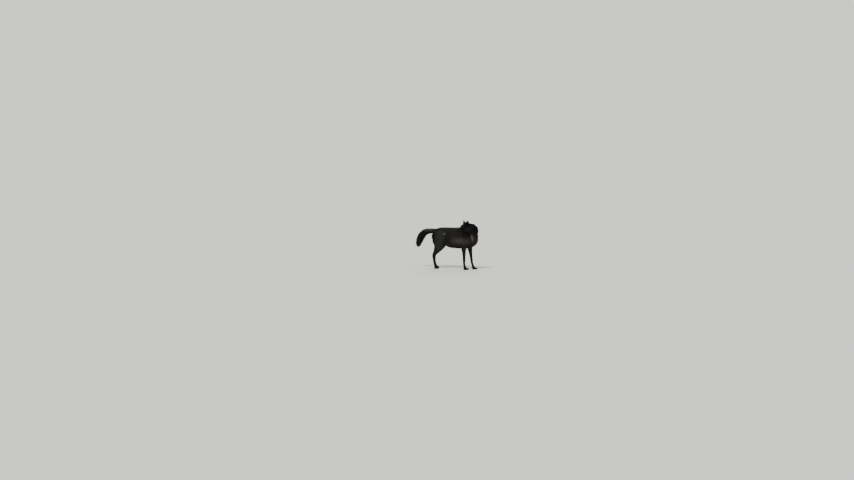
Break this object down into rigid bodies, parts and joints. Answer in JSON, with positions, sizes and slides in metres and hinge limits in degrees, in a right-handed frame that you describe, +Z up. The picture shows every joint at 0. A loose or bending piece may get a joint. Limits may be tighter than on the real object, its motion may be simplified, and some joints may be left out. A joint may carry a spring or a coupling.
{
  "type": "wolf",
  "caption": "Life-size wolf with a black and grey coat, standing still on four feet, its tail lifted and its head turned back over its right shoulder.",
  "frame": {"origin": "middle of the base of the bounding box, on the floor that the paws stand on", "axes": "+X the way the trunk faces, from the rump to the chest; +Y the animal's left side; +Z up"},
  "size_m": [1.2486, 0.5014, 0.9453],
  "materials": {
    "coat_black": "long dense fur, matt",
    "coat_grey": "dense fur, matt",
    "eye_amber": "wet gloss",
    "nose_leather": "moist satin"
  },
  "bodies": {
    "root": {"ear_left": "coat_black", "ear_right": "coat_black", "eye_left": "eye_amber", "eye_right": "eye_amber", "foreleg_left_forearm": "coat_grey", "foreleg_left_pastern": "coat_grey", "foreleg_left_paw": "coat_grey", "foreleg_right_forearm": "coat_grey", "foreleg_right_pastern": "coat_grey", "foreleg_right_paw": "coat_grey", "head": "coat_black", "hindleg_left_hock": "coat_grey", "hindleg_left_paw": "coat_grey", "hindleg_left_shank": "coat_grey", "hindleg_left_thigh": "coat_grey", "hindleg_right_hock": "coat_grey", "hindleg_right_paw": "coat_grey", "hindleg_right_shank": "coat_grey", "hindleg_right_thigh": "coat_grey", "neck_lower": "coat_black", "neck_upper": "coat_black", "nose": "nose_leather", "tail_base": "coat_black", "tail_end": "coat_black", "tail_middle": "coat_black", "torso_front": "coat_grey", "torso_middle": "coat_grey", "torso_rear": "coat_grey"}
  },
  "joints": []
}
